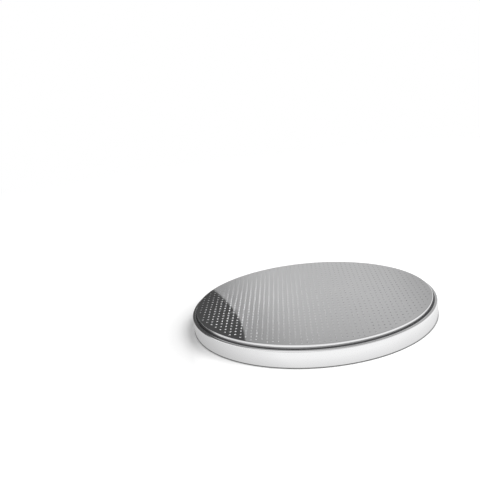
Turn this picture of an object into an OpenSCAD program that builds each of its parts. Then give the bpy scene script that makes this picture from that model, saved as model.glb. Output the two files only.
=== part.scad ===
// Flat lithium coin cell, lying with its negative cap up.
// The positive can is crimped over a plastic gasket that grips the hemmed skirt of the cap.
// Inside, from the bottom: a mesh collector, the cathode pellet, the separator and the lithium disc.
// Origin: the centre of the cell's underside. +Z points from the positive face to the negative face.

/* [Cell] */
// Diameter over the can
cell_d = 20; // [12:0.1:30]
// Height over both faces
cell_h = 1.6; // [1.5:0.05:3.2]

/* [Positive can] */
// Thickness of the can's sheet
can_t = 0.14; // [0.1:0.01:0.2]
// Rounding of the edge between the underside and the side wall
can_foot_round = 0.08; // [0.02:0.01:0.2]
// Rounding where the side wall turns in to the crimped rim
can_rim_round = 0.13; // [0.02:0.01:0.2]
// Rounding on the inner edge of the crimped rim
can_lip_round = 0.03; // [0.02:0.01:0.08]

/* [Negative cap] */
// Thickness of the cap's sheet
cap_t = 0.15; // [0.1:0.01:0.2]
// Height of the cap's face above the crimped rim
cap_proud = 0.29; // [0.15:0.01:0.4]
// Rounding of the edge around the cap's face
cap_edge_round = 0.07; // [0.02:0.01:0.14]
// Rounding on the free end of the folded hem
hem_end_round = 0.04; // [0.01:0.01:0.08]

/* [Sealing gasket] */
// Thickness of the squeezed gasket
gasket_t = 0.07; // [0.05:0.01:0.12]
// Height of the gasket's inner lip above the can's floor
gasket_lip_h = 0.3; // [0.2:0.01:0.45]
// Width of the gasket's visible edge between the crimped rim and the cap
rim_gap = 0.11; // [0.08:0.01:0.13]
// Depth of the gasket's visible edge below the crimped rim
gasket_recess = 0.02; // [0.01:0.01:0.1]
// Rounding on the gasket's free edges
gasket_round = 0.02; // [0.01:0.005:0.02]

/* [Electrodes] */
// Thickness of the collector mesh
collector_t = 0.05; // [0.03:0.01:0.1]
// Radial step from the pellet's edge in to the collector's edge
collector_inset = 0.1; // [0.05:0.05:1]
// Distance between neighbouring openings in the collector mesh
mesh_pitch = 1.6; // [1.2:0.1:2.4]
// Width of the strands between the openings
mesh_strand = 0.3; // [0.15:0.05:0.5]
// Solid border around the collector mesh
mesh_border = 0.3; // [0.1:0.1:1]
// Thickness of the separator
separator_t = 0.1; // [0.05:0.01:0.15]
// Depth of the separator's turned-down skirt
separator_skirt_h = 0.35; // [0.2:0.01:0.45]
// Clearance between the pellet and the separator's skirt
pellet_gap = 0.05; // [0.02:0.01:0.2]
// Clearance between the separator's skirt and the gasket's inner lip
skirt_gap = 0.3; // [0.1:0.05:1]
// Thickness of the lithium disc
lithium_t = 0.3; // [0.2:0.01:0.5]
// Radial step from the separator's edge in to the lithium's edge
lithium_inset = 0.3; // [0.1:0.05:1]

/* [Hidden] */
$fn = 96;

// Radii, from the outside in
can_r = cell_d / 2;
can_bore_r = can_r - can_t;
hem_r = can_bore_r - gasket_t;
cap_r = hem_r - cap_t;
rim_mouth_r = cap_r + rim_gap;
cap_bore_r = cap_r - cap_t;
gasket_bore_r = cap_bore_r - gasket_t;
separator_r = gasket_bore_r - skirt_gap;
pellet_r = separator_r - separator_t - pellet_gap;
collector_r = pellet_r - collector_inset;
lithium_r = separator_r - lithium_inset;

// Heights, from the underside up
can_floor_z = can_t;
hem_foot_z = can_floor_z + gasket_t;
can_top_z = cell_h - cap_proud;
rim_under_z = can_top_z - can_t;
hem_end_z = rim_under_z - gasket_t;
gasket_top_z = can_top_z - gasket_recess;
pellet_z = can_floor_z + collector_t;
cap_ceiling_z = cell_h - cap_t;
lithium_z = cap_ceiling_z - lithium_t;
separator_z = lithium_z - separator_t;

// Mesh openings are diamonds: neighbours in a row lie mesh_pitch apart, and every other row is shifted
diamond_r = (mesh_pitch - mesh_strand * sqrt(2)) / 2;
mesh_field_r = collector_r - mesh_border - diamond_r;
mesh_rows = ceil(2 * mesh_field_r / mesh_pitch);

// One square corner of a section, with everything outside the rounding's arc. The section lies
// towards dr and dz from the corner.
module corner_waste(r, z, dr, dz, rounding) {
    translate([r, z])
        mirror([dr < 0 ? 1 : 0, 0])
            mirror([0, dz < 0 ? 1 : 0])
                difference() {
                    translate([-rounding, -rounding])
                        square(2 * rounding);
                    translate([rounding, rounding])
                        circle(rounding);
                }
}

// The section of a ring between two radii and two heights
module band(r_in, r_out, z_low, z_high) {
    translate([r_in, z_low])
        square([r_out - r_in, z_high - z_low]);
}

// The can: a drawn cup whose rim is turned in over the gasket
module positive_can() {
    color("gainsboro")
        rotate_extrude()
            difference() {
                band(0, can_r, 0, can_top_z);
                band(0, can_bore_r, can_floor_z, rim_under_z);
                band(0, rim_mouth_r, can_floor_z, cell_h);
                corner_waste(can_r, 0, -1, 1, can_foot_round);
                corner_waste(can_r, can_top_z, -1, -1, can_rim_round);
                corner_waste(rim_mouth_r, can_top_z, 1, -1, can_lip_round);
            }
}

// The cap's sheet: a flat face, a skirt, and a hem folded out and up against the skirt
module cap_section() {
    difference() {
        union() {
            band(0, cap_r, hem_foot_z, cell_h);
            band(cap_bore_r, hem_r, hem_foot_z, hem_end_z);
        }
        band(0, cap_bore_r, 0, cap_ceiling_z);
        corner_waste(cap_r, cell_h, -1, -1, cap_edge_round);
        corner_waste(hem_r, hem_end_z, -1, -1, hem_end_round);
        corner_waste(hem_r, hem_foot_z, -1, 1, cap_t);
        corner_waste(cap_bore_r, hem_foot_z, 1, 1, cap_t);
    }
}

module negative_cap() {
    color("silver")
        rotate_extrude()
            cap_section();
}

// The gasket: moulded as a trough for the hem, and squeezed over it by the crimped rim
module sealing_gasket() {
    color("dimgray")
        rotate_extrude()
            difference() {
                union() {
                    band(gasket_bore_r, can_bore_r, can_floor_z, can_floor_z + gasket_lip_h);
                    band(cap_r, can_bore_r, can_floor_z, rim_under_z);
                    band(cap_r, rim_mouth_r, hem_end_z, gasket_top_z);
                }
                cap_section();
                corner_waste(gasket_bore_r, can_floor_z + gasket_lip_h, 1, -1, gasket_round);
                corner_waste(rim_mouth_r, gasket_top_z, -1, -1, gasket_round);
            }
}

// The cathode's current collector: a disc of expanded metal
module cathode_collector() {
    color("slategray")
        translate([0, 0, can_floor_z])
            linear_extrude(collector_t)
                difference() {
                    circle(collector_r);
                    for (row = [-mesh_rows : mesh_rows], column = [-mesh_rows : mesh_rows]) {
                        x = (column + abs(row % 2) / 2) * mesh_pitch;
                        y = row * mesh_pitch / 2;
                        if (norm([x, y]) < mesh_field_r)
                            translate([x, y])
                                circle(diamond_r, $fn = 4);
                    }
                }
}

// The cathode: one pressed pellet that fills the height the other layers leave
module cathode_pellet() {
    color("#202022")
        translate([0, 0, pellet_z])
            cylinder(r = pellet_r, h = separator_z - pellet_z);
}

// The separator: a thin felt cup turned down around the pellet
module separator() {
    color("ivory")
        rotate_extrude() {
            band(0, separator_r, separator_z, lithium_z);
            band(separator_r - separator_t, separator_r, lithium_z - separator_skirt_h, lithium_z);
        }
}

// The anode: a disc punched from lithium foil and pressed into the cap
module lithium_anode() {
    color("lightsteelblue")
        translate([0, 0, lithium_z])
            cylinder(r = lithium_r, h = lithium_t);
}

positive_can();
sealing_gasket();
negative_cap();
cathode_collector();
cathode_pellet();
separator();
lithium_anode();
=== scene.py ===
# %% [markdown]
# # A lithium coin cell, dressed in Blender
# The construction of this cell comes from its solids: seven pieces, crimped into a disc that lies with its
# negative cap up. Here the three pieces that show are turned again as fine, smooth meshes, the cap gets its
# pressed dimples, and every piece gets its finish. Everything is in metres, in the same frame as the solids.

# %% Load the frame
import math

import bmesh
import bpy
from mathutils import Matrix, Vector


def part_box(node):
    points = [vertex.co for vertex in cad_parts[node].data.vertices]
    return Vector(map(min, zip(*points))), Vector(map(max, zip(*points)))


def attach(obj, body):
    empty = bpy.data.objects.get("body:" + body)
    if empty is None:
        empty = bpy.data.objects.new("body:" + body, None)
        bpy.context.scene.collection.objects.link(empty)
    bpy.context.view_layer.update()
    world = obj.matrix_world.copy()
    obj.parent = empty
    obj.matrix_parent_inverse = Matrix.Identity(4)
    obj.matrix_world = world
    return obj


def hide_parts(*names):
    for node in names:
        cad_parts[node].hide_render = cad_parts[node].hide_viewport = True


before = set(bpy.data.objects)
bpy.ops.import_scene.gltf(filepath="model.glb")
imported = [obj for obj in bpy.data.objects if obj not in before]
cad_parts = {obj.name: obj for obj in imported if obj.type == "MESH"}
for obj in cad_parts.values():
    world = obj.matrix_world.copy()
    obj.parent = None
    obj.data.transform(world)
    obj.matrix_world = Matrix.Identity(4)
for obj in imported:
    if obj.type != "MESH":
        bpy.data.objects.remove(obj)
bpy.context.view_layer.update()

# %% [markdown]
# ## Sizes
# The outer sizes are read from the solids, so that they can't drift apart. The sheet thicknesses and the
# roundings are repeated by name, because a box doesn't tell them. All of them are in metres: MM turns a
# length in millimetres into metres.

# %% Sizes of the cell
MM = 0.001
can_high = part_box("positive_can")[1]
hem_low, cap_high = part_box("negative_cap")
gasket_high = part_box("sealing_gasket")[1]

CAN_R = can_high.x
CAN_TOP = can_high.z
CAN_SHEET = 0.14 * MM
CAN_FOOT_ROUND = 0.08 * MM
CAN_RIM_ROUND = 0.13 * MM
CAN_LIP_ROUND = 0.03 * MM
CAP_SHEET = 0.15 * MM
CAP_TOP = cap_high.z
CAP_EDGE_ROUND = 0.07 * MM
HEM_END_ROUND = 0.04 * MM
HEM_FOOT = hem_low.z
GASKET_T = 0.07 * MM
RIM_GAP = 0.11 * MM
GASKET_LIP_H = 0.3 * MM
GASKET_TOP = gasket_high.z
GASKET_ROUND = 0.02 * MM

CAN_BORE_R = CAN_R - CAN_SHEET
HEM_R = CAN_BORE_R - GASKET_T
CAP_R = HEM_R - CAP_SHEET
RIM_MOUTH_R = CAP_R + RIM_GAP
CAP_BORE_R = CAP_R - CAP_SHEET
GASKET_BORE_R = CAP_BORE_R - GASKET_T
RIM_UNDER = CAN_TOP - CAN_SHEET
HEM_END = RIM_UNDER - GASKET_T
print("radii in mm: can", round(CAN_R / MM, 3), "cap", round(CAP_R / MM, 3))
print("cap's top at", round(CAP_TOP / MM, 3), "mm")

# %% [markdown]
# ## Camera
# The rings of the cell and the rows of dimples fix where the photograph was taken from: low in front of the
# cell, close to it, with the camera turned a little to the left and tilted about its own axis. The camera is
# built from those angles as three axes, because a matrix made of axes has no hidden order of rotations.

# %% Camera
CAMERA_PLACE = Vector((0.94, -49.33, 19.49)) * MM
CAMERA_YAW = math.radians(7.36)
CAMERA_PITCH = math.radians(-14.17)
CAMERA_ROLL = math.radians(-6.65)
CAMERA_LENS_MM = 46.86
SENSOR_MM = 36.0


def aimed_axes(yaw, pitch, roll):
    """The right, up and backward axes of a camera: yaw turns left from +Y, pitch tilts up, roll leans."""
    forward = Vector((-math.sin(yaw) * math.cos(pitch), math.cos(yaw) * math.cos(pitch), math.sin(pitch)))
    level_right = Vector((math.cos(yaw), math.sin(yaw), 0))
    level_up = level_right.cross(forward)
    right = level_right * math.cos(roll) + level_up * math.sin(roll)
    return right, right.cross(forward), -forward


def make_camera():
    """The photograph's camera, with no shift and no depth of field."""
    data = bpy.data.cameras.new("camera")
    data.lens = CAMERA_LENS_MM
    data.sensor_width = SENSOR_MM
    data.clip_start = 1 * MM
    data.clip_end = 10
    camera = bpy.data.objects.new("camera", data)
    bpy.context.scene.collection.objects.link(camera)
    turn = Matrix(aimed_axes(CAMERA_YAW, CAMERA_PITCH, CAMERA_ROLL)).transposed()
    camera.matrix_world = Matrix.Translation(CAMERA_PLACE) @ turn.to_4x4()
    bpy.context.scene.camera = camera
    return camera


camera = make_camera()
bpy.context.scene.view_settings.view_transform = "Standard"
print("camera at", CAMERA_PLACE[:], "lens", CAMERA_LENS_MM)

# %% [markdown]
# ## Node helpers
# Shader trees and geometry trees are built with the same few calls: add a node with its settings, fill its
# inputs with values or with other nodes' outputs, and go on from its output.

# %% Node helpers


def add(tree, kind, inputs=(), **settings):
    """A new node. inputs maps a socket's name or number to a value or to another node's output socket."""
    node = tree.nodes.new(kind)
    for name, value in settings.items():
        setattr(node, name, value)
    for name, value in dict(inputs).items():
        if isinstance(value, bpy.types.NodeSocket):
            tree.links.new(value, node.inputs[name])
        else:
            node.inputs[name].default_value = value
    return node


def sums(tree, operation, *values, clamp=False):
    """The output of one Math node: a value or a socket for each of its inputs."""
    return add(tree, "ShaderNodeMath", enumerate(values), operation=operation, use_clamp=clamp).outputs[0]


def blend_values(tree, factor, first, second):
    """The output of a Mix node that goes from first to second as factor goes from 0 to 1."""
    return add(tree, "ShaderNodeMix", {0: factor, 2: first, 3: second}, data_type="FLOAT").outputs[0]


def blend_colours(tree, factor, first, second):
    """The same, for colours."""
    node = add(tree, "ShaderNodeMix", {0: factor, 6: first, 7: second}, data_type="RGBA")
    return node.outputs[2]


def remap(tree, value, low, high, to_low=0.0, to_high=1.0, smooth=True):
    """A value between low and high, moved to between to_low and to_high, and held at its ends."""
    kind = "SMOOTHSTEP" if smooth else "LINEAR"
    inputs = {0: value, 1: low, 2: high, 3: to_low, 4: to_high}
    return add(tree, "ShaderNodeMapRange", inputs, interpolation_type=kind).outputs[0]


def object_place(tree):
    """The shaded point's place in the piece's own frame."""
    return add(tree, "ShaderNodeTexCoord").outputs["Object"]


def split(tree, vector):
    """The x, y and z of a vector."""
    return add(tree, "ShaderNodeSeparateXYZ", {0: vector}).outputs


def from_axis(tree, x, y):
    """The distance from the cell's axis."""
    squares = sums(tree, "ADD", sums(tree, "POWER", x, 2.0), sums(tree, "POWER", y, 2.0))
    return sums(tree, "SQRT", squares)


def new_group(name, kind, sockets_in, sockets_out):
    """A node group with named sockets, and its input and output nodes."""
    group = bpy.data.node_groups.new(name, kind)
    for socket_name, socket_kind, value in sockets_in:
        socket = group.interface.new_socket(name=socket_name, in_out="INPUT", socket_type=socket_kind)
        if value is not None:
            socket.default_value = value
    for socket_name, socket_kind in sockets_out:
        group.interface.new_socket(name=socket_name, in_out="OUTPUT", socket_type=socket_kind)
    return group, group.nodes.new("NodeGroupInput").outputs, group.nodes.new("NodeGroupOutput").inputs


# %% [markdown]
# ## The room
# Polished steel shows the room more than itself. This one has a white sweep all round, a soft grey card
# behind the cell with a dark flag at its left, a ceiling, and a soft light overhead. The world paints them
# by direction, for the rays that light or mirror, and plain white for the camera's own rays. Real cards
# would do the same, but they would have to be hidden from the camera, and their edges would show in other
# views. Each band of height is a ramp of grey levels that goes once round the cell.

# %% The room's grey levels
WHITE = (1, 1, 1, 1)
# pairs of an azimuth, in degrees from +Y towards +X, and the level there
HORIZON_LEVELS = ((-180, 1.0), (-78, 1.0), (-66, 0.08), (-13, 0.08), (-9, 1.0), (180, 1.0))
CARD_LEVELS = (
    (-180, 0.45), (-140, 0.5), (-110, 0.8), (-80, 1.0), (-66, 0.075), (-30, 0.075), (-20, 0.345),
    (-9.1, 0.345), (-7.9, 0.385), (-6.4, 0.445), (-5, 0.5), (-3, 0.53), (4, 0.54), (6.4, 0.525), (7.8, 0.5),
    (9.2, 0.43), (14, 0.39), (26, 0.38), (36, 0.5), (46, 0.64), (60, 0.9), (90, 0.9), (140, 0.5),
    (180, 0.45),
)
CEILING_LEVELS = (
    (-180, 0.93), (-128, 0.87), (-108, 0.85), (-95, 0.78), (-80, 0.6), (-72, 0.42), (-59, 0.2),
    (-47, 0.12), (-30, 0.1), (-20, 0.24), (-8, 0.28), (2, 0.3), (15, 0.38), (46, 0.42), (58, 0.5),
    (73, 0.7), (85, 0.88), (110, 0.97), (180, 0.93),
)
OVERHEAD_LEVELS = (
    (-180, 0.8), (-150, 0.87), (-90, 0.9), (-50, 0.85), (-26, 0.75), (-10, 0.5), (-3, 0.43), (20, 0.36),
    (94, 0.38), (120, 0.42), (140, 0.55), (160, 0.68), (180, 0.8),
)
ZENITH = 0.55
for levels in (HORIZON_LEVELS, CARD_LEVELS, CEILING_LEVELS, OVERHEAD_LEVELS):
    print("a band with", len(levels), "levels, the darkest", min(levels, key=lambda pair: pair[1]))

# %% [markdown]
# ## The flag's edge
# The cap mirrors the flag's right edge as a crisp, slightly curved line. A colour ramp is stored as 256
# samples, which is more than a degree each here, and would blur that line. So the flag is a mask made with
# plain arithmetic on the direction, and it keeps its edge at any size.

# %% Looking up a level and masking the flag
FLAG_LEVEL = 0.075
CARD_MIDDLE = 20.0
# in degrees: where the right edge stands at the card's middle, and how it leans and curves over the
# heights below and above that
FLAG_EDGE, FLAG_LEAN, FLAG_CURVE = -9.02, 0.687, -0.115
FLAG_BELOW, FLAG_ABOVE = -4.0, 3.0
FLAG_BLUR = 0.12
FLAG_LEFT = (-66, -40)
FLAG_TOP = (38, 46, 1.0, 0.0)


def by_azimuth(tree, azimuth, levels):
    """A level looked up on a ramp of (degrees, level) pairs that goes once round."""
    share = add(tree, "ShaderNodeMapRange", {0: azimuth, 1: -180.0, 2: 180.0}).outputs[0]
    ramp = add(tree, "ShaderNodeValToRGB", {0: share})
    elements = ramp.color_ramp.elements
    while len(elements) < len(levels):
        elements.new(1.0)
    for element, (degrees, level) in zip(elements, levels):
        element.position = (degrees + 180) / 360
        element.color = (level, level, level, 1)
    return ramp.outputs[0]


def flag_mask(tree, azimuth, elevation):
    """1 where the dark flag hangs, with a crisp right edge, and 0 elsewhere."""
    above = sums(tree, "SUBTRACT", elevation, CARD_MIDDLE)
    above = sums(tree, "MAXIMUM", sums(tree, "MINIMUM", above, FLAG_ABOVE), FLAG_BELOW)
    bend = sums(tree, "ADD", sums(tree, "MULTIPLY", above, FLAG_CURVE), FLAG_LEAN)
    edge = sums(tree, "ADD", sums(tree, "MULTIPLY", above, bend), FLAG_EDGE)
    inside = remap(tree, sums(tree, "SUBTRACT", azimuth, edge), -FLAG_BLUR, FLAG_BLUR, 1.0, 0.0)
    inside = sums(tree, "MULTIPLY", inside, remap(tree, azimuth, *FLAG_LEFT))
    return sums(tree, "MULTIPLY", inside, remap(tree, elevation, *FLAG_TOP))


print("flag's edge at the card's middle:", FLAG_EDGE, "degrees, blurred over", 2 * FLAG_BLUR)

# %% The world
# the heights, in degrees, over which one band turns into the next
HORIZON_TO_CARD = (10, 15)
CARD_TO_CEILING = (19, 31)
CEILING_TO_OVERHEAD = (38, 52)
OVERHEAD_TO_ZENITH = (80, 88)
CARD_SLANT = 0.55
# the light overhead starts 15 degrees higher at the left of the first azimuth, and as written at the right
# of the second
OVERHEAD_LIFT = (-20, 20, 15.0, 0.0)


def make_world():
    """White for the camera, and the room's levels for every other ray."""
    world = bpy.data.worlds.new("studio")
    world.use_nodes = True
    tree = world.node_tree
    tree.nodes.clear()
    direction = add(tree, "ShaderNodeTexCoord").outputs["Generated"]
    x, y, z = split(tree, direction)
    azimuth = sums(tree, "DEGREES", sums(tree, "ARCTAN2", x, y))
    elevation = sums(tree, "DEGREES", sums(tree, "ARCSINE", z))
    slant = sums(tree, "MULTIPLY", sums(tree, "SUBTRACT", elevation, CARD_MIDDLE), -CARD_SLANT)
    horizon = by_azimuth(tree, azimuth, HORIZON_LEVELS)
    card = by_azimuth(tree, sums(tree, "ADD", azimuth, slant), CARD_LEVELS)
    ceiling = by_azimuth(tree, azimuth, CEILING_LEVELS)
    overhead = by_azimuth(tree, azimuth, OVERHEAD_LEVELS)
    # from the horizon up: the sweep, the card, the ceiling, and the soft light overhead
    level = blend_values(tree, remap(tree, elevation, *HORIZON_TO_CARD), horizon, card)
    level = blend_values(tree, remap(tree, elevation, *CARD_TO_CEILING), level, ceiling)
    level = blend_values(tree, flag_mask(tree, azimuth, elevation), level, FLAG_LEVEL)
    lowered = sums(tree, "SUBTRACT", elevation, remap(tree, azimuth, *OVERHEAD_LIFT))
    level = blend_values(tree, remap(tree, lowered, *CEILING_TO_OVERHEAD), level, overhead)
    level = blend_values(tree, remap(tree, elevation, *OVERHEAD_TO_ZENITH), level, ZENITH)
    seen = add(tree, "ShaderNodeLightPath").outputs["Is Camera Ray"]
    background = add(tree, "ShaderNodeBackground", {0: WHITE, 1: blend_values(tree, seen, level, 1.0)})
    add(tree, "ShaderNodeOutputWorld", {0: background.outputs[0]})
    bpy.context.scene.world = world
    return world


print("world:", len(make_world().node_tree.nodes), "nodes")

# %% [markdown]
# ## The paper, as the eye sees it
# The cell lies on white paper. The paper's own shading stays a little under white, so that it can take the
# cell's soft shadow, and a faint glow for the camera's rays lifts the lit part to white. The glow fades at
# the cell's left foot, where the shadow is to stay deep, and in a hairline along the whole foot. Along the
# rest of the foot there is more glow: painted light that lifts the cell's contact shadow there towards
# white.

# %% The seen paper
FLOOR_COLOUR = (0.82, 0.82, 0.82, 1)
FLOOR_GLOW = 0.3
PAPER_FIBRES = 900.0
PAPER_RELIEF = 0.1 * MM
# each of these turns a place into a factor: from, to, and the factor at both, 0 and 1 if not given.
# AWAY is the distance from the cell's axis and ACROSS the place along X.
# a hairline at the foot: the camera's glow is taken off there, so the real contact shadow shows; in the
# mirrored paper the same hairline is a painted dark line, a painted contact shadow
AWAY_FOOT_LINE = (CAN_R - 0.03 * MM, CAN_R + 0.2 * MM)
# painted light: more glow for the camera near the foot, except at the left, that lifts the contact shadow
AWAY_PAINTED_LIFT = (CAN_R, CAN_R + 2 * MM, 0.3, 0.0)
ACROSS_PAINTED_LIFT = (-8 * MM, -2 * MM)
AWAY_SHADED = (CAN_R, CAN_R + 5 * MM)
ACROSS_SHADED = (-10 * MM, -7 * MM)
AWAY_SWEEP = (0.03, 0.12)


def seen_paper(tree, away, across, camera_ray):
    """The paper as the eye and matte surfaces see it: matte, lifted to white for the camera, with painted
    light by the foot.
    """
    inputs = {"Vector": object_place(tree), "Scale": PAPER_FIBRES, "Detail": 3.0}
    fibres = add(tree, "ShaderNodeTexNoise", inputs).outputs[0]
    relief = add(tree, "ShaderNodeBump", {"Strength": 0.05, "Distance": PAPER_RELIEF, "Height": fibres})
    matte = add(tree, "ShaderNodeBsdfDiffuse", {"Color": FLOOR_COLOUR, "Normal": relief.outputs[0]})
    # painted light beside the foot, which lifts the cell's contact shadow in the camera's view
    painted_foot_lift = sums(tree, "MULTIPLY", remap(tree, away, *AWAY_PAINTED_LIFT), remap(tree, across, *ACROSS_PAINTED_LIFT))
    shaded = sums(tree, "MAXIMUM", remap(tree, away, *AWAY_SHADED), remap(tree, across, *ACROSS_SHADED))
    glow = sums(tree, "ADD", sums(tree, "MULTIPLY", FLOOR_GLOW, shaded), painted_foot_lift)
    glow = sums(tree, "MULTIPLY", glow, remap(tree, away, *AWAY_FOOT_LINE))
    glowing = add(tree, "ShaderNodeEmission", {0: WHITE, 1: sums(tree, "MULTIPLY", camera_ray, glow)})
    near = add(tree, "ShaderNodeAddShader", {0: matte.outputs[0], 1: glowing.outputs[0]})
    # far from the cell the paper is as white as the world behind it
    far = add(tree, "ShaderNodeEmission", {0: WHITE})
    share = sums(tree, "MULTIPLY", camera_ray, remap(tree, away, *AWAY_SWEEP))
    return add(tree, "ShaderNodeMixShader", {0: share, 1: near.outputs[0], 2: far.outputs[0]}).outputs[0]


print("paper turns into the white behind it from", AWAY_SWEEP[0], "to", AWAY_SWEEP[1], "m away")

# %% [markdown]
# ## The paper, as the steel mirrors it
# The can's wall mirrors the paper within a few millimetres of its foot. For those rays the paper is an even
# glow with painted shade: it turns grey at the left and towards the foot, has a painted dark hairline along
# the foot, and a painted shadow where the flag stands over it, so that the metal shows the same room below
# as above.

# %% The mirrored paper and the floor
FLOOR_R = 0.6
# painted shade in the mirrored paper: greyer towards the foot, greyer at the left, and dark under the flag
MIRRORED_AWAY = (CAN_R + 0.1 * MM, CAN_R + 1.8 * MM, 0.8, 1.0)
MIRRORED_ACROSS = (-10 * MM, -1 * MM, 0.6, 1.0)
MIRRORED_SPREAD = 1.1
MIRRORED_FLAG = (-19 * MM, -16.5 * MM, 0.12, 1.0)


def mirrored_paper(tree, away, across, along):
    """The paper as the steel mirrors it, with painted shade: greyer at the left and at the foot, dark below
    the flag.
    """
    beyond = sums(tree, "MULTIPLY", sums(tree, "SUBTRACT", away, CAN_R), MIRRORED_SPREAD)
    # painted shade at the left
    painted_left_shade = remap(tree, sums(tree, "ADD", across, beyond), *MIRRORED_ACROSS, smooth=False)
    # painted shadow under the flag
    painted_flag_shadow = remap(tree, sums(tree, "SUBTRACT", across, along), *MIRRORED_FLAG, smooth=False)
    level = sums(tree, "MULTIPLY", remap(tree, away, *MIRRORED_AWAY, smooth=False), painted_left_shade)
    level = sums(tree, "MULTIPLY", level, painted_flag_shadow)
    # a painted dark hairline along the foot: a painted contact shadow in the steel
    level = sums(tree, "MULTIPLY", level, remap(tree, away, *AWAY_FOOT_LINE))
    return add(tree, "ShaderNodeEmission", {0: WHITE, 1: level}).outputs[0]


def make_floor():
    """The white paper that the cell lies on."""
    mesh = bpy.data.meshes.new("floor")
    shape = bmesh.new()
    bmesh.ops.create_circle(shape, cap_ends=True, radius=FLOOR_R, segments=128)
    shape.to_mesh(mesh)
    shape.free()
    floor = bpy.data.objects.new("floor", mesh)
    bpy.context.scene.collection.objects.link(floor)
    paper = bpy.data.materials.new("white_paper")
    paper.use_nodes = True
    tree = paper.node_tree
    tree.nodes.clear()
    place = object_place(tree)
    away = add(tree, "ShaderNodeVectorMath", {0: place}, operation="LENGTH").outputs["Value"]
    across, along = split(tree, place)[:2]
    path = add(tree, "ShaderNodeLightPath").outputs
    mirrored = sums(tree, "MAXIMUM", path["Is Glossy Ray"], path["Is Transmission Ray"])
    seen = seen_paper(tree, away, across, path["Is Camera Ray"])
    in_steel = mirrored_paper(tree, away, across, along)
    shader = add(tree, "ShaderNodeMixShader", {0: mirrored, 1: seen, 2: in_steel})
    add(tree, "ShaderNodeOutputMaterial", {0: shader.outputs[0]})
    mesh.materials.append(paper)


make_floor()
print("floor:", FLOOR_R, "m radius")

# %% [markdown]
# ## The large lamp
# One large lamp stands high at the right. It throws the soft shadow at the cell's left foot and lights what
# is matte: the paper, the gasket and the frosted dimples. Polished steel doesn't show it, because all that
# the steel mirrors is already in the room's levels.

# %% The large lamp
KEY_PLACE = Vector((0.16, 0.06, 0.26))
KEY_SIDE = 0.2
KEY_POWER = 0.66


def make_lamp(name, kind, place, aim, power):
    """A lamp of one kind that is aimed at a point, and that polished steel doesn't show."""
    data = bpy.data.lights.new(name, kind)
    data.energy = power
    lamp = bpy.data.objects.new(name, data)
    lamp.visible_glossy = False
    bpy.context.scene.collection.objects.link(lamp)
    turn = (place - aim).to_track_quat("Z", "Y").to_matrix()
    lamp.matrix_world = Matrix.Translation(place) @ turn.to_4x4()
    return lamp


key = make_lamp("key", "AREA", KEY_PLACE, Vector((0, 0, 0)), KEY_POWER)
key.data.size = KEY_SIDE
print("large lamp:", KEY_POWER, "W,", KEY_SIDE, "m square")

# %% [markdown]
# ## Shared surface effects
# Three effects turn up on more than one finish, so each is a node group. Ring grain is the fine turning
# that drawing and spinning leave round a sheet-metal part. Handling marks are the hairline scratches of a
# part that has been in trays and feeders. Mottle is a soft, slow change, as of a thin oxide.

# %% Ring grain


def ring_grain_group():
    """Fine concentric lines that fade in and out along their length."""
    sockets = [("Lines per mm", "NodeSocketFloat", 20.0), ("Drift per mm", "NodeSocketFloat", 0.4)]
    group, given, out = new_group("ring_grain", "ShaderNodeTree", sockets, [("Value", "NodeSocketFloat")])
    x, y, z = split(group, object_place(group))
    across = sums(group, "MULTIPLY", sums(group, "ADD", from_axis(group, x, y), z), 1 / MM)
    fine = sums(group, "MULTIPLY", across, given["Lines per mm"])
    drift = sums(group, "DIVIDE", given["Drift per mm"], MM)
    along_x = sums(group, "MULTIPLY", x, drift)
    along_y = sums(group, "MULTIPLY", y, drift)
    grain = add(group, "ShaderNodeCombineXYZ", {0: along_x, 1: along_y, 2: fine}).outputs[0]
    lines = add(group, "ShaderNodeTexNoise", {"Vector": grain, "Scale": 1.0, "Detail": 2.0, "Roughness": 0.6})
    group.links.new(lines.outputs[0], out[0])
    return group


RING_GRAIN = ring_grain_group()
print("effect:", RING_GRAIN.name)

# %% Handling marks
SCRATCH_TURNS = (17, 74, 131)
SCRATCH_STRETCH = 90.0
SCRATCH_WANDER = 2
WANDER_SCALE, BREAK_SCALE = 220.0, 400.0
SCRATCH_WIDTH = (0.0, 0.03, 1.0, 0.0)
SCRATCH_BREAKS = (0.55, 0.65)


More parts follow.
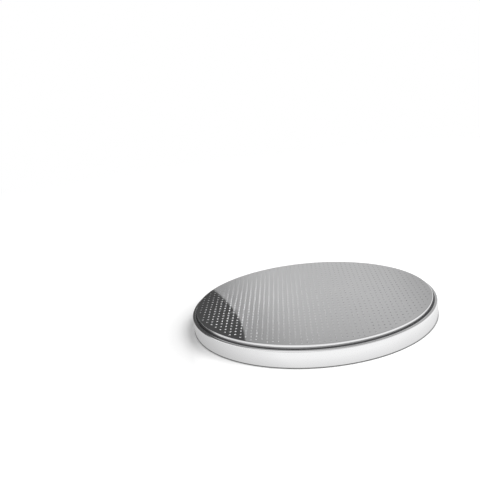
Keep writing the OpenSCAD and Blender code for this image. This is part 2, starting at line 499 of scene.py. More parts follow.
def handling_marks_group():
    """Sparse hairline scratches in three directions, as a mask from 0 to 1."""
    sockets = [("Spacing mm", "NodeSocketFloat", 2.0), ("Amount", "NodeSocketFloat", 0.5)]
    group, given, out = new_group("handling_marks", "ShaderNodeTree", sockets, [("Mask", "NodeSocketFloat")])
    place = object_place(group)
    scale = sums(group, "DIVIDE", 1 / MM, given["Spacing mm"])
    mask = None
    for turn in SCRATCH_TURNS:
        inputs = {"Vector": place, "Angle": math.radians(turn)}
        turned = add(group, "ShaderNodeVectorRotate", inputs, rotation_type="Z_AXIS").outputs[0]
        x, y, z = split(group, turned)
        # a wander bends the lines slightly, and a second, coarse noise breaks them into short strokes
        inputs = {"Vector": turned, "Scale": WANDER_SCALE, "Detail": 1.0}
        wander = add(group, "ShaderNodeTexNoise", inputs).outputs[0]
        bent = sums(group, "MULTIPLY", wander, SCRATCH_WANDER)
        across = sums(group, "ADD", sums(group, "MULTIPLY", x, scale), bent)
        along = sums(group, "MULTIPLY", y, SCRATCH_STRETCH)
        grid = add(group, "ShaderNodeCombineXYZ", {0: across, 1: along, 2: z}).outputs[0]
        inputs = {"Vector": grid, "Scale": 1.0}
        lines = add(group, "ShaderNodeTexVoronoi", inputs, feature="DISTANCE_TO_EDGE")
        hairline = remap(group, lines.outputs["Distance"], *SCRATCH_WIDTH)
        inputs = {"Vector": turned, "Scale": BREAK_SCALE + turn}
        breaks = add(group, "ShaderNodeTexNoise", inputs).outputs[0]
        stroke = sums(group, "MULTIPLY", hairline, remap(group, breaks, *SCRATCH_BREAKS))
        mask = stroke if mask is None else sums(group, "MAXIMUM", mask, stroke)
    group.links.new(sums(group, "MULTIPLY", mask, given["Amount"]), out[0])
    return group


HANDLING_MARKS = handling_marks_group()
print("effect:", HANDLING_MARKS.name, "in", len(SCRATCH_TURNS), "directions")

# %% Mottle


def mottle_group():
    """A slow, cloudy change between 0 and 1."""
    sockets = [("Cloud mm", "NodeSocketFloat", 3.0), ("Contrast", "NodeSocketFloat", 0.5)]
    group, given, out = new_group("mottle", "ShaderNodeTree", sockets, [("Value", "NodeSocketFloat")])
    size = sums(group, "DIVIDE", 1 / MM, given["Cloud mm"])
    inputs = {"Vector": object_place(group), "Scale": size, "Detail": 4.0, "Roughness": 0.55}
    cloud = add(group, "ShaderNodeTexNoise", inputs).outputs[0]
    centred = sums(group, "SUBTRACT", cloud, 0.5)
    wide = sums(group, "MULTIPLY", centred, sums(group, "MULTIPLY", given["Contrast"], 4.0))
    group.links.new(sums(group, "ADD", wide, 0.5, clamp=True), out[0])
    return group


MOTTLE = mottle_group()
print("effect:", MOTTLE.name)

# %% [markdown]
# ## Steel
# Both outer pieces are bright steel. A metal's look is mostly what it mirrors, so the colour stays even,
# and the life is in the roughness: ring grain round the can, hairlines everywhere, a soft mottle. Constant
# values sit on the shader's own sockets.

# %% Material helpers
GRAIN_SPAN = (0.3, 0.7)
MARK_DEPTH = 0.5
FACE_DEPTH = 0.002 * MM


def new_material(name):
    """A material with only a Principled shader in it, its tree, and the shader."""
    material = bpy.data.materials.new(name)
    material.use_nodes = True
    tree = material.node_tree
    tree.nodes.clear()
    shader = tree.nodes.new("ShaderNodeBsdfPrincipled")
    add(tree, "ShaderNodeOutputMaterial", {0: shader.outputs[0]})
    return material, tree, shader


def effect(tree, group, **values):
    """A node group placed in a material. Underscores in a value's name stand for spaces."""
    node = tree.nodes.new("ShaderNodeGroup")
    node.node_tree = group
    for name, value in values.items():
        node.inputs[name.replace("_", " ")].default_value = value
    return node.outputs[0]


def set_relief(tree, shader, height, depth):
    """Bump on a shader, from a height between 0 and 1 and the depth it stands for, in metres."""
    bump = add(tree, "ShaderNodeBump", {"Height": height, "Distance": depth, "Strength": 1.0})
    tree.links.new(bump.outputs[0], shader.inputs["Normal"])


def worn_roughness(tree, grain, clouds, marks, polish, clouding, scratching):
    """The roughness of polished steel: its ring grain, raised where it is clouded or scratched."""
    turned = remap(tree, grain, *GRAIN_SPAN, *polish)
    clouded = sums(tree, "ADD", turned, sums(tree, "MULTIPLY", clouds, clouding))
    return sums(tree, "ADD", clouded, sums(tree, "MULTIPLY", marks, scratching))


def worn_height(tree, grain, marks, ridge):
    """The height of the same steel: ridges of the ring grain, cut by the scratches."""
    ridges = sums(tree, "MULTIPLY", grain, ridge)
    return sums(tree, "SUBTRACT", ridges, sums(tree, "MULTIPLY", marks, MARK_DEPTH))


# %% Can steel
CAN_COLOUR = (0.88, 0.88, 0.885, 1)
CAN_CLOUD_COLOUR = (0.92, 0.92, 0.925, 1)
CAN_POLISH, CAN_CLOUDING, CAN_SCRATCHING = (0.05, 0.12), 0.04, 0.18
CAN_RIDGE = 0.4
CAN_RELIEF = 0.0006 * MM
ETCHED_COLOUR = (0.5, 0.5, 0.51, 1)
ETCHED_ROUGHNESS = 0.55
PLUS_PLACE = (3.4 * MM, -4.6 * MM)
PLUS_ARM = 1.5 * MM
PLUS_LINE = 0.13 * MM


def plus_mask(tree):
    """1 on the polarity sign that is etched into the underside, and 0 elsewhere."""
    x, y, z = split(tree, object_place(tree))
    from_x = sums(tree, "ABSOLUTE", sums(tree, "SUBTRACT", x, PLUS_PLACE[0]))
    from_y = sums(tree, "ABSOLUTE", sums(tree, "SUBTRACT", y, PLUS_PLACE[1]))
    longer = sums(tree, "LESS_THAN", sums(tree, "MAXIMUM", from_x, from_y), PLUS_ARM)
    thinner = sums(tree, "LESS_THAN", sums(tree, "MINIMUM", from_x, from_y), PLUS_LINE)
    underside = sums(tree, "LESS_THAN", z, FACE_DEPTH)
    return sums(tree, "MULTIPLY", sums(tree, "MULTIPLY", longer, thinner), underside)


def can_steel():
    """Bright drawn steel, with turning lines and an etched plus on the underside."""
    material, tree, shader = new_material("can_steel")
    grain = effect(tree, RING_GRAIN, Lines_per_mm=26.0, Drift_per_mm=0.35)
    marks = effect(tree, HANDLING_MARKS, Spacing_mm=2.4, Amount=0.6)
    clouds = effect(tree, MOTTLE, Cloud_mm=4.0, Contrast=0.5)
    etched = plus_mask(tree)
    polished = worn_roughness(tree, grain, clouds, marks, CAN_POLISH, CAN_CLOUDING, CAN_SCRATCHING)
    tree.links.new(blend_values(tree, etched, polished, ETCHED_ROUGHNESS), shader.inputs["Roughness"])
    steel = blend_colours(tree, clouds, CAN_COLOUR, CAN_CLOUD_COLOUR)
    tree.links.new(blend_colours(tree, etched, steel, ETCHED_COLOUR), shader.inputs["Base Color"])
    shader.inputs["Metallic"].default_value = 1.0
    set_relief(tree, shader, worn_height(tree, grain, marks, CAN_RIDGE), CAN_RELIEF)
    return material


CAN_STEEL = can_steel()
print("finish:", CAN_STEEL.name, len(CAN_STEEL.node_tree.nodes), "nodes")

# %% [markdown]
# ## The cap's steel
# The cap is polished further than the can, almost to a mirror. The tool that presses the dimples leaves
# their bowls frosted and dull. The drawn skirt below the edge is rougher, and its colour is darkened as
# painted shade for the groove it stands in. One material holds all three, told apart by height and by
# distance from the axis, so that the face stays one piece.

# %% Cap steel
CAP_COLOUR = (0.88, 0.88, 0.885, 1)
CAP_CLOUD_COLOUR = (0.86, 0.86, 0.87, 1)
CAP_POLISH, CAP_CLOUDING, CAP_SCRATCHING = (0.01, 0.025), 0.01, 0.12
FACE_RIDGE, SIDE_RIDGE = 0.05, 0.5
CAP_RELIEF = 0.0003 * MM
DIMPLE_COLOUR = (0.17, 0.17, 0.173, 1)
DIMPLE_METAL = 0.3
DIMPLE_ROUGHNESS = 0.3
# the skirt's colour is darkened: painted shade in the groove
SKIRT_SHADE_COLOUR = (0.4, 0.4, 0.405, 1)
SKIRT_ROUGHNESS = 0.3
SKIRT_TOP = CAP_TOP - 2 * CAP_EDGE_ROUND


def cap_steel():
    """Mirror-polished steel, frosted by the tool inside the dimples, rougher down the drawn skirt, and
    darkened there as painted shade.
    """
    material, tree, shader = new_material("cap_steel")
    grain = effect(tree, RING_GRAIN, Lines_per_mm=30.0, Drift_per_mm=0.3)
    marks = effect(tree, HANDLING_MARKS, Spacing_mm=3.0, Amount=0.5)
    clouds = effect(tree, MOTTLE, Cloud_mm=5.0, Contrast=0.5)
    x, y, z = split(tree, object_place(tree))
    on_face = sums(tree, "LESS_THAN", from_axis(tree, x, y), CAP_R - CAP_EDGE_ROUND)
    sunk = sums(tree, "MULTIPLY", on_face, sums(tree, "LESS_THAN", z, CAP_TOP - FACE_DEPTH))
    # on the face this compares with 1, more metres than the cell is high, so only the side can be skirt
    skirt = sums(tree, "GREATER_THAN", sums(tree, "SUBTRACT", SKIRT_TOP, z), on_face)
    polished = worn_roughness(tree, grain, clouds, marks, CAP_POLISH, CAP_CLOUDING, CAP_SCRATCHING)
    polished = blend_values(tree, skirt, polished, SKIRT_ROUGHNESS)
    tree.links.new(blend_values(tree, sunk, polished, DIMPLE_ROUGHNESS), shader.inputs["Roughness"])
    steel = blend_colours(tree, clouds, CAP_COLOUR, CAP_CLOUD_COLOUR)
    # painted shade: the skirt's colour is darkened for the groove it stands in
    steel = blend_colours(tree, skirt, steel, SKIRT_SHADE_COLOUR)
    tree.links.new(blend_colours(tree, sunk, steel, DIMPLE_COLOUR), shader.inputs["Base Color"])
    tree.links.new(blend_values(tree, sunk, 1.0, DIMPLE_METAL), shader.inputs["Metallic"])
    ridge = blend_values(tree, on_face, SIDE_RIDGE, FACE_RIDGE)
    set_relief(tree, shader, worn_height(tree, grain, marks, ridge), CAP_RELIEF)
    return material


CAP_STEEL = cap_steel()
print("finish:", CAP_STEEL.name, len(CAP_STEEL.node_tree.nodes), "nodes")

# %% [markdown]
# ## Gasket and contents
# The gasket's edge is the thin dark line in the groove. The four inner pieces never show, but they are there
# for whoever takes the cell apart, so each has the surface of its own stuff: expanded steel, pressed black
# powder, felt and lithium foil.

# %% Gasket plastic
GASKET_COLOURS = ((0.035, 0.035, 0.038, 1), (0.055, 0.055, 0.058, 1))
GASKET_ROUGHNESS = (0.38, 0.5)
GASKET_RELIEF = 0.002 * MM


def gasket_plastic():
    """Dark moulded polypropylene, satin, with a faint skin."""
    material, tree, shader = new_material("gasket_plastic")
    clouds = effect(tree, MOTTLE, Cloud_mm=0.6, Contrast=0.7)
    tree.links.new(blend_colours(tree, clouds, *GASKET_COLOURS), shader.inputs["Base Color"])
    tree.links.new(remap(tree, clouds, 0.0, 1.0, *GASKET_ROUGHNESS), shader.inputs["Roughness"])
    set_relief(tree, shader, clouds, GASKET_RELIEF)
    return material


GASKET_PLASTIC = gasket_plastic()
print("finish:", GASKET_PLASTIC.name)

# %% Expanded steel
COLLECTOR_COLOURS = ((0.5, 0.51, 0.53, 1), (0.62, 0.63, 0.64, 1))
COLLECTOR_ROUGHNESS, COLLECTOR_SCRATCHING = (0.28, 0.42), 0.2
COLLECTOR_RELIEF = 0.003 * MM


def collector_steel():
    """Expanded metal: grey steel, dull from stretching."""
    material, tree, shader = new_material("collector_steel")
    clouds = effect(tree, MOTTLE, Cloud_mm=0.8, Contrast=0.8)
    marks = effect(tree, HANDLING_MARKS, Spacing_mm=0.6, Amount=1.0)
    tree.links.new(blend_colours(tree, clouds, *COLLECTOR_COLOURS), shader.inputs["Base Color"])
    dull = remap(tree, clouds, 0.0, 1.0, *COLLECTOR_ROUGHNESS)
    roughness = sums(tree, "ADD", dull, sums(tree, "MULTIPLY", marks, COLLECTOR_SCRATCHING))
    tree.links.new(roughness, shader.inputs["Roughness"])
    shader.inputs["Metallic"].default_value = 1.0
    set_relief(tree, shader, clouds, COLLECTOR_RELIEF)
    return material


COLLECTOR_STEEL = collector_steel()
print("finish:", COLLECTOR_STEEL.name)

# %% Pressed powder
POWDER_COLOURS = ((0.012, 0.012, 0.013, 1), (0.03, 0.03, 0.032, 1))
POWDER_ROUGHNESS = (0.85, 0.45)
POWDER_SCALE = 16000.0
POWDER_RELIEF = 0.01 * MM
GLINT_COLOUR = (0.12, 0.12, 0.125, 1)
GLINT_SHARE = 0.5
GLINT_REACH = (0.0, 0.25, 1.0, 0.0)


def pressed_powder():
    """Black pressed powder with graphite glints and small pits."""
    material, tree, shader = new_material("cathode_mix")
    inputs = {"Vector": object_place(tree), "Scale": POWDER_SCALE}
    grains = add(tree, "ShaderNodeTexVoronoi", inputs).outputs["Distance"]
    glint = remap(tree, grains, *GLINT_REACH)
    clouds = effect(tree, MOTTLE, Cloud_mm=1.5, Contrast=0.6)
    dark = blend_colours(tree, clouds, *POWDER_COLOURS)
    glinting = blend_colours(tree, sums(tree, "MULTIPLY", glint, GLINT_SHARE), dark, GLINT_COLOUR)
    tree.links.new(glinting, shader.inputs["Base Color"])
    tree.links.new(remap(tree, glint, 0.0, 1.0, *POWDER_ROUGHNESS), shader.inputs["Roughness"])
    set_relief(tree, shader, grains, POWDER_RELIEF)
    return material


CATHODE_MIX = pressed_powder()
print("finish:", CATHODE_MIX.name)

# %% Felt
FELT_COLOURS = ((0.72, 0.71, 0.67, 1), (0.9, 0.89, 0.86, 1))
FELT_ROUGHNESS = 0.9
FELT_SHEEN = 0.3
FELT_RELIEF = 0.01 * MM
FIBRE_TURNS = (0, 47, 103, 151)
FIBRE_SCALE = (14000.0, 1600.0, 9000.0)
FIBRE_WIDTH = (0.0, 0.06, 1.0, 0.0)


def separator_felt():
    """Thin nonwoven felt: pale fibres laid every way."""
    material, tree, shader = new_material("separator_felt")
    place = object_place(tree)
    fibres = None
    for turn in FIBRE_TURNS:
        laid = add(tree, "ShaderNodeMapping", {"Vector": place, "Scale": FIBRE_SCALE})
        laid.inputs["Rotation"].default_value[2] = math.radians(turn)
        strand = add(tree, "ShaderNodeTexNoise", {"Vector": laid.outputs[0], "Scale": 1.0, "Detail": 1.0})
        middle = sums(tree, "ABSOLUTE", sums(tree, "SUBTRACT", strand.outputs[0], 0.5))
        line = remap(tree, middle, *FIBRE_WIDTH)
        fibres = line if fibres is None else sums(tree, "MAXIMUM", fibres, line)
    tree.links.new(blend_colours(tree, fibres, *FELT_COLOURS), shader.inputs["Base Color"])
    shader.inputs["Roughness"].default_value = FELT_ROUGHNESS
    shader.inputs["Sheen Weight"].default_value = FELT_SHEEN
    set_relief(tree, shader, fibres, FELT_RELIEF)
    return material


SEPARATOR_FELT = separator_felt()
print("finish:", SEPARATOR_FELT.name)

# %% Lithium foil
LITHIUM_COLOURS = ((0.74, 0.75, 0.76, 1), (0.42, 0.43, 0.46, 1))
LITHIUM_ROUGHNESS = (0.3, 0.5)
LITHIUM_RELIEF = 0.003 * MM
ROLLING_SCALE = (400.0, 22000.0, 400.0)
ROLLING_SHARE = 0.12


def lithium_foil():
    """Soft punched lithium: satin silver with a grey bloom and faint rolling lines."""
    material, tree, shader = new_material("lithium_metal")
    bloom = effect(tree, MOTTLE, Cloud_mm=2.2, Contrast=0.9)
    laid = add(tree, "ShaderNodeMapping", {"Vector": object_place(tree), "Scale": ROLLING_SCALE}).outputs[0]
    rolled = add(tree, "ShaderNodeTexNoise", {"Vector": laid, "Scale": 1.0, "Detail": 2.0}).outputs[0]
    tree.links.new(blend_colours(tree, bloom, *LITHIUM_COLOURS), shader.inputs["Base Color"])
    dull = remap(tree, bloom, 0.0, 1.0, *LITHIUM_ROUGHNESS)
    roughness = sums(tree, "ADD", dull, sums(tree, "MULTIPLY", rolled, ROLLING_SHARE))
    tree.links.new(roughness, shader.inputs["Roughness"])
    shader.inputs["Metallic"].default_value = 1.0
    set_relief(tree, shader, rolled, LITHIUM_RELIEF)
    return material


LITHIUM_METAL = lithium_foil()
print("finish:", LITHIUM_METAL.name)

# %% Finishes on the inner pieces
INNER_FINISHES = {
    "cathode_collector": COLLECTOR_STEEL,
    "cathode_pellet": CATHODE_MIX,
    "separator": SEPARATOR_FELT,
    "lithium_anode": LITHIUM_METAL,
}
for node_name, finish in INNER_FINISHES.items():
    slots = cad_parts[node_name].data.materials
    slots.clear()
    slots.append(finish)
print("finishes on the inner pieces:", sorted(INNER_FINISHES))

# %% [markdown]
# ## Turning a section
# The can, the gasket and the cap are all round, so each is one section turned about the cell's axis. A
# section is a list of points in radius and height, walked so that the metal is on the left. Straight runs
# get a point close to each rounding, which keeps the smooth shading of the rounding off the flat.

# %% Drawing a section
ROUND_STEPS = 8
NEAR = 0.03 * MM


def rounding(r, z, radius, start, end):
    """The points of an arc about (r, z), from one angle to another, in degrees."""
    angles = [math.radians(start + (end - start) * i / ROUND_STEPS) for i in range(ROUND_STEPS + 1)]
    return [(r + radius * math.cos(a), z + radius * math.sin(a)) for a in angles]


def with_near_points(points):
    """The section with a point added a little way in from each end of its long straight runs."""
    out = [points[0]]
    for (r0, z0), (r1, z1) in zip(points, points[1:]):
        run = math.hypot(r1 - r0, z1 - z0)
        if run > 4 * NEAR:
            share = NEAR / run
            out.append((r0 + (r1 - r0) * share, z0 + (z1 - z0) * share))
            out.append((r1 + (r0 - r1) * share, z1 + (z0 - z1) * share))
        out.append((r1, z1))
    return out


print("a rounding has", ROUND_STEPS + 1, "points")

# %% Turning a section
TURN_STEPS = 360
SHARP = math.radians(35)
ON_AXIS = 1e-9


def turned_mesh(name, section, closed=False):
    """A mesh of the section turned about Z. A point at radius 0 becomes one vertex on the axis."""
    points = with_near_points(section + section[:1] if closed else section)
    if closed:
        points.pop()
    shape = bmesh.new()
    rings = []
    for r, z in points:
        if r < ON_AXIS:
            rings.append([shape.verts.new((0, 0, z))] * TURN_STEPS)
            continue
        ring = []
        for step in range(TURN_STEPS):
            angle = math.tau * step / TURN_STEPS
            ring.append(shape.verts.new((r * math.cos(angle), r * math.sin(angle), z)))
        rings.append(ring)
    pairs = list(zip(rings, rings[1:])) + ([(rings[-1], rings[0])] if closed else [])
    for inner, outer in pairs:
        for step in range(TURN_STEPS):
            after = (step + 1) % TURN_STEPS
            corners = [inner[step], inner[after], outer[after], outer[step]]
            shape.faces.new(sorted(set(corners), key=corners.index))
    bmesh.ops.recalc_face_normals(shape, faces=shape.faces)
    for face in shape.faces:
        face.smooth = True
    for edge in shape.edges:
        edge.smooth = edge.is_boundary or edge.calc_face_angle(0) < SHARP
    mesh = bpy.data.meshes.new(name)
    shape.to_mesh(mesh)
    shape.free()
    return mesh


print("a section is turned in", TURN_STEPS, "steps")

# %% Placing a piece


def place_piece(name, mesh, node, material):
    """An object at the origin that rides on the cell's body and stands for one of its solids."""
    piece = bpy.data.objects.new(name, mesh)
    bpy.context.scene.collection.objects.link(piece)
    mesh.materials.append(material)
    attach(piece, "root")
    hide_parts(node)
    return piece


# %% [markdown]
# ## The can
# A drawn cup: a flat floor, a small rounding up into the wall, and at the top the crimp, where the wall's
# edge is turned in over the gasket. Its section is a closed sheet of metal from the axis out and back.

# %% The can
CAN_SECTION = [
    (0, 0),
    *rounding(CAN_R - CAN_FOOT_ROUND, CAN_FOOT_ROUND, CAN_FOOT_ROUND, -90, 0),
    *rounding(CAN_R - CAN_RIM_ROUND, CAN_TOP - CAN_RIM_ROUND, CAN_RIM_ROUND, 0, 90),
    *rounding(RIM_MOUTH_R + CAN_LIP_ROUND, CAN_TOP - CAN_LIP_ROUND, CAN_LIP_ROUND, 90, 180),
    (RIM_MOUTH_R, RIM_UNDER),
    (CAN_BORE_R, RIM_UNDER),
    (CAN_BORE_R, CAN_SHEET),
    (0, CAN_SHEET),
]
can_mesh = turned_mesh("drawn_can", CAN_SECTION)
can = place_piece("drawn_can", can_mesh, "positive_can", CAN_STEEL)
print("can:", len(can.data.polygons), "faces")

# %% [markdown]
# ## The gasket
# A moulded ring with a trough for the cap's folded hem. The crimp has squeezed its outer wall over the hem
# and up into the groove, where its edge shows.

# %% The gasket
GASKET_SECTION = [
    (GASKET_BORE_R, CAN_SHEET),
    (CAN_BORE_R, CAN_SHEET),
    (CAN_BORE_R, RIM_UNDER),
    (RIM_MOUTH_R, RIM_UNDER),
    *rounding(RIM_MOUTH_R - GASKET_ROUND, GASKET_TOP - GASKET_ROUND, GASKET_ROUND, 0, 90),
    (CAP_R, GASKET_TOP),
    (CAP_R, HEM_END),
    *rounding(HEM_R - HEM_END_ROUND, HEM_END - HEM_END_ROUND, HEM_END_ROUND, 90, 0),
    *rounding(HEM_R - CAP_SHEET, HEM_FOOT + CAP_SHEET, CAP_SHEET, 0, -90),
    *rounding(CAP_BORE_R + CAP_SHEET, HEM_FOOT + CAP_SHEET, CAP_SHEET, -90, -180)[1:],
    (CAP_BORE_R, CAN_SHEET + GASKET_LIP_H),
    *rounding(GASKET_BORE_R + GASKET_ROUND, CAN_SHEET + GASKET_LIP_H - GASKET_ROUND, GASKET_ROUND, 90, 180),
]
gasket_mesh = turned_mesh("moulded_gasket", GASKET_SECTION, closed=True)
gasket = place_piece("moulded_gasket", gasket_mesh, "sealing_gasket", GASKET_PLASTIC)
print("gasket:", len(gasket.data.polygons), "faces")

# %% [markdown]
# ## The cap
# A stamped cap: its skirt runs down into the gasket, and its edge is folded out and up into a hem, which
# the crimp holds down. The section starts at the edge of the dimpled face and ends under it, and the
# face itself comes in the next step.

# %% The cap's body
FACE_R = CAP_R - CAP_EDGE_ROUND - NEAR
CAP_SECTION = [
    (0, CAP_TOP - CAP_SHEET),
    (CAP_BORE_R, CAP_TOP - CAP_SHEET),
    *rounding(CAP_BORE_R + CAP_SHEET, HEM_FOOT + CAP_SHEET, CAP_SHEET, 180, 270),
    *rounding(HEM_R - CAP_SHEET, HEM_FOOT + CAP_SHEET, CAP_SHEET, 270, 360)[1:],
    *rounding(HEM_R - HEM_END_ROUND, HEM_END - HEM_END_ROUND, HEM_END_ROUND, 0, 90),
    (CAP_R, HEM_END),
    *rounding(CAP_R - CAP_EDGE_ROUND, CAP_TOP - CAP_EDGE_ROUND, CAP_EDGE_ROUND, 0, 90),
    (FACE_R, CAP_TOP),
]
cap_mesh = turned_mesh("stamped_cap", CAP_SECTION)
cap = place_piece("stamped_cap", cap_mesh, "negative_cap", CAP_STEEL)
print("cap without its face:", len(cap_mesh.polygons), "faces")

# %% [markdown]
# ## The dimples
# Some twelve hundred small dimples stand in straight rows over the whole face, which makes them work for
# Geometry Nodes. A grid gives their centres, and the ones too near the edge are dropped. A small circle at
# each centre, together with the face's own outline, is filled as one flat sheet with holes. A bowl with the
# same rim closes each hole, and merging the rims makes one watertight face. Cutting the bowls out by
# booleans would give the same shape, but slowly and with ragged triangles.

# %% One dimple
DIMPLE_SIDES = 12
BOWL_RINGS = 3


def bowl(tree, radius, depth, sides):
    """One dimple, its rim at height 0: a cone of a few rings, bent into a bowl."""
    inputs = {"Vertices": sides, "Side Segments": BOWL_RINGS, "Radius Top": 0.0}
    inputs |= {"Radius Bottom": radius, "Depth": depth}
    cone = add(tree, "GeometryNodeMeshCone", inputs, fill_type="NONE")
    x, y = split(tree, add(tree, "GeometryNodeInputPosition").outputs[0])[:2]
    off_centre = sums(tree, "ADD", sums(tree, "POWER", x, 2.0), sums(tree, "POWER", y, 2.0))
    share = sums(tree, "DIVIDE", off_centre, sums(tree, "POWER", radius, 2.0))
    height = sums(tree, "MULTIPLY", sums(tree, "SUBTRACT", share, 1.0), depth)
    place = add(tree, "ShaderNodeCombineXYZ", {0: x, 1: y, 2: height}).outputs[0]
    bent = add(tree, "GeometryNodeSetPosition", {"Geometry": cone.outputs["Mesh"], "Position": place})
    inputs = {"Geometry": bent.outputs[0], "Shade Smooth": True}
    return add(tree, "GeometryNodeSetShadeSmooth", inputs).outputs[0]


print("a bowl has", BOWL_RINGS, "rings of", DIMPLE_SIDES, "sides")

# %% Where the dimples stand


def pitches_across(tree, radius, pitch):
    """The even number of pitches that spans the field."""
    each_way = sums(tree, "CEIL", sums(tree, "DIVIDE", radius, pitch))
    return sums(tree, "MULTIPLY", each_way, 2.0)


def lattice(tree, given):
    """The dimples' centres: a leaning grid, without the points outside the field."""
    radius = given["Field radius"]
    # an odd number of columns puts one on the middle, and an even number of rows puts none there
    columns = sums(tree, "ADD", pitches_across(tree, radius, given["Pitch X"]), 1.0)
    rows = pitches_across(tree, radius, given["Pitch Y"])
    inputs = {
        "Size X": sums(tree, "MULTIPLY", sums(tree, "SUBTRACT", columns, 1.0), given["Pitch X"]),
        "Size Y": sums(tree, "MULTIPLY", sums(tree, "SUBTRACT", rows, 1.0), given["Pitch Y"]),
        "Vertices X": columns,
        "Vertices Y": rows,
    }
    grid = add(tree, "GeometryNodeMeshGrid", inputs)
    x, y = split(tree, add(tree, "GeometryNodeInputPosition").outputs[0])[:2]
    leaned = sums(tree, "SUBTRACT", x, sums(tree, "MULTIPLY", y, sums(tree, "TANGENT", given["Lean"])))
    place = add(tree, "ShaderNodeCombineXYZ", {0: leaned, 1: y}).outputs[0]
    moved = add(tree, "GeometryNodeSetPosition", {"Geometry": grid.outputs["Mesh"], "Position": place})
    where = add(tree, "GeometryNodeInputPosition").outputs[0]
    far = add(tree, "ShaderNodeVectorMath", {0: where}, operation="LENGTH").outputs["Value"]
    outside = sums(tree, "GREATER_THAN", far, radius)
    inputs = {"Geometry": moved.outputs[0], "Selection": outside}
    kept = add(tree, "GeometryNodeDeleteGeometry", inputs, domain="POINT")
    return add(tree, "GeometryNodeMeshToPoints", {"Mesh": kept.outputs[0]}).outputs[0]


# %% The flat sheet with its holes


def joined(tree, *parts):
    """Several geometries as one, with their instances made real."""
    join = tree.nodes.new("GeometryNodeJoinGeometry")
    for part in parts:
        tree.links.new(part, join.inputs[0])
    return add(tree, "GeometryNodeRealizeInstances", {"Geometry": join.outputs[0]}).outputs[0]


def circle(tree, resolution, radius):
    """A circle of straight pieces about the axis."""
    inputs = {"Resolution": resolution, "Radius": radius}
    return add(tree, "GeometryNodeCurvePrimitiveCircle", inputs).outputs[0]


def at_centres(tree, centres, thing):
    """One copy of a geometry at each centre."""
    return add(tree, "GeometryNodeInstanceOnPoints", {"Points": centres, "Instance": thing}).outputs[0]


def holed_sheet(tree, given, centres):
    """The face's outline filled flat, with a hole for each dimple."""
    rims = at_centres(tree, centres, circle(tree, given["Dimple sides"], given["Dimple radius"]))
    outline = circle(tree, given["Outline steps"], given["Face radius"])
    inputs = {"Curve": joined(tree, rims, outline)}
    sheet = add(tree, "GeometryNodeFillCurve", inputs, mode="TRIANGLES").outputs[0]
    inputs = {"Geometry": sheet, "Shade Smooth": False}
    return add(tree, "GeometryNodeSetShadeSmooth", inputs).outputs[0]


# %% The tree that presses the face
FACE_SIZES = (
    "Face radius", "Face height", "Field radius", "Pitch X", "Pitch Y", "Lean",
    "Dimple radius", "Dimple depth",
)
MERGE = 0.0004 * MM


def pressed_face_tree():
    """Geometry Nodes that close the cap with a flat face full of dimples."""
    sockets = [("Geometry", "NodeSocketGeometry", None)]
    sockets += [(name, "NodeSocketFloat", 0.0) for name in FACE_SIZES]
    sockets += [("Dimple sides", "NodeSocketInt", DIMPLE_SIDES)]
    sockets += [("Outline steps", "NodeSocketInt", TURN_STEPS)]
    sockets += [("Steel", "NodeSocketMaterial", None)]
    result = [("Geometry", "NodeSocketGeometry")]
    tree, given, out = new_group("pressed_face", "GeometryNodeTree", sockets, result)
    centres = lattice(tree, given)
    dimple = bowl(tree, given["Dimple radius"], given["Dimple depth"], given["Dimple sides"])
    face = joined(tree, holed_sheet(tree, given, centres), at_centres(tree, centres, dimple))
    lift = add(tree, "ShaderNodeCombineXYZ", {2: given["Face height"]}).outputs[0]
    lifted = add(tree, "GeometryNodeTransform", {"Geometry": face, "Translation": lift}).outputs[0]
    inputs = {"Geometry": joined(tree, given["Geometry"], lifted), "Distance": MERGE}
    merged = add(tree, "GeometryNodeMergeByDistance", inputs).outputs[0]
    inputs = {"Geometry": merged, "Material": given["Steel"]}
    tree.links.new(add(tree, "GeometryNodeSetMaterial", inputs).outputs[0], out[0])
    return tree


# %% Press the face
DIMPLE_PITCH_X = 0.40 * MM
DIMPLE_PITCH_Y = 0.5585 * MM
DIMPLE_LEAN = math.radians(2.5)
DIMPLE_R = 0.075 * MM
DIMPLE_DEPTH = 0.015 * MM
FIELD_R = 9.38 * MM


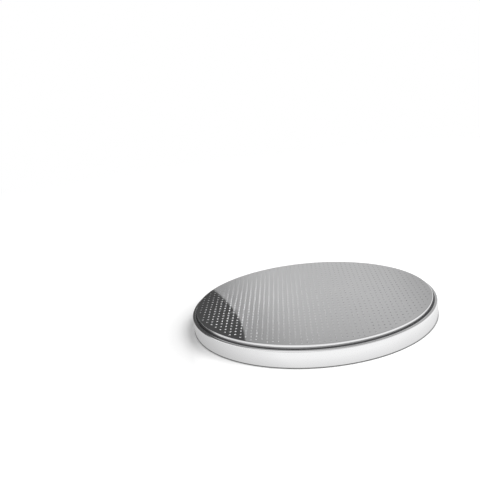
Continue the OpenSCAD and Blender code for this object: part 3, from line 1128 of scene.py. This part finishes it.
def apply_tree(piece, tree, values):
    """Runs a geometry tree on a piece and keeps its result as the piece's plain mesh."""
    modifier = piece.modifiers.new(tree.name, "NODES")
    modifier.node_group = tree
    for item in tree.interface.items_tree:
        if item.in_out == "INPUT" and item.name in values:
            modifier[item.identifier] = values[item.name]
    settled = bpy.context.evaluated_depsgraph_get()
    mesh = bpy.data.meshes.new_from_object(piece.evaluated_get(settled))
    piece.modifiers.remove(modifier)
    piece.data = mesh
    return mesh


face_values = {
    "Face radius": FACE_R,
    "Face height": CAP_TOP,
    "Field radius": FIELD_R,
    "Pitch X": DIMPLE_PITCH_X,
    "Pitch Y": DIMPLE_PITCH_Y,
    "Lean": DIMPLE_LEAN,
    "Dimple radius": DIMPLE_R,
    "Dimple depth": DIMPLE_DEPTH,
    "Dimple sides": DIMPLE_SIDES,
    "Outline steps": TURN_STEPS,
    "Steel": CAP_STEEL,
}
pressed = apply_tree(cap, pressed_face_tree(), face_values)
pressed.calc_loop_triangles()
print("cap:", len(pressed.loop_triangles), "triangles")

# %% Are the pieces closed?


def open_edges(mesh):
    """The number of edges that don't have just two faces: 0 on a closed piece."""
    shape = bmesh.new()
    shape.from_mesh(mesh)
    count = sum(1 for edge in shape.edges if len(edge.link_faces) != 2)
    volume = shape.calc_volume(signed=True)
    shape.free()
    return count, volume / MM**3


for piece in (can, gasket, cap):
    print(piece.name, "open edges and volume in mm3:", open_edges(piece.data))

# %% [markdown]
# ## The low lamp
# A frosted dimple catches light that the flat face sends elsewhere. Here that light stands low at the left:
# the dimples are bright there, fade out over the middle, and past it are darker than the face. It is a spot
# lamp whose cone is stretched across the cell, so that it reaches the whole left side, and it lights the
# cap alone. A second large lamp would light the paper too, and take away its shadow.

# %% The low lamp
SPOT_PLACE = Vector((-14, -2, 8)) * MM
SPOT_AIM = Vector((0, -2, 0)) * MM
SPOT_CONE = math.radians(43)
SPOT_STRETCH = 3.2
SPOT_POWER = 0.1
SPOT_SIZE = 1 * MM
spot = make_lamp("spot", "SPOT", SPOT_PLACE, SPOT_AIM, SPOT_POWER)
spot.data.spot_size = SPOT_CONE
spot.data.spot_blend = 1.0
spot.data.shadow_soft_size = SPOT_SIZE
spot.scale.x = SPOT_STRETCH
lit_by_spot = bpy.data.collections.new("lit_by_spot")
lit_by_spot.objects.link(cap)
spot.light_linking.receiver_collection = lit_by_spot
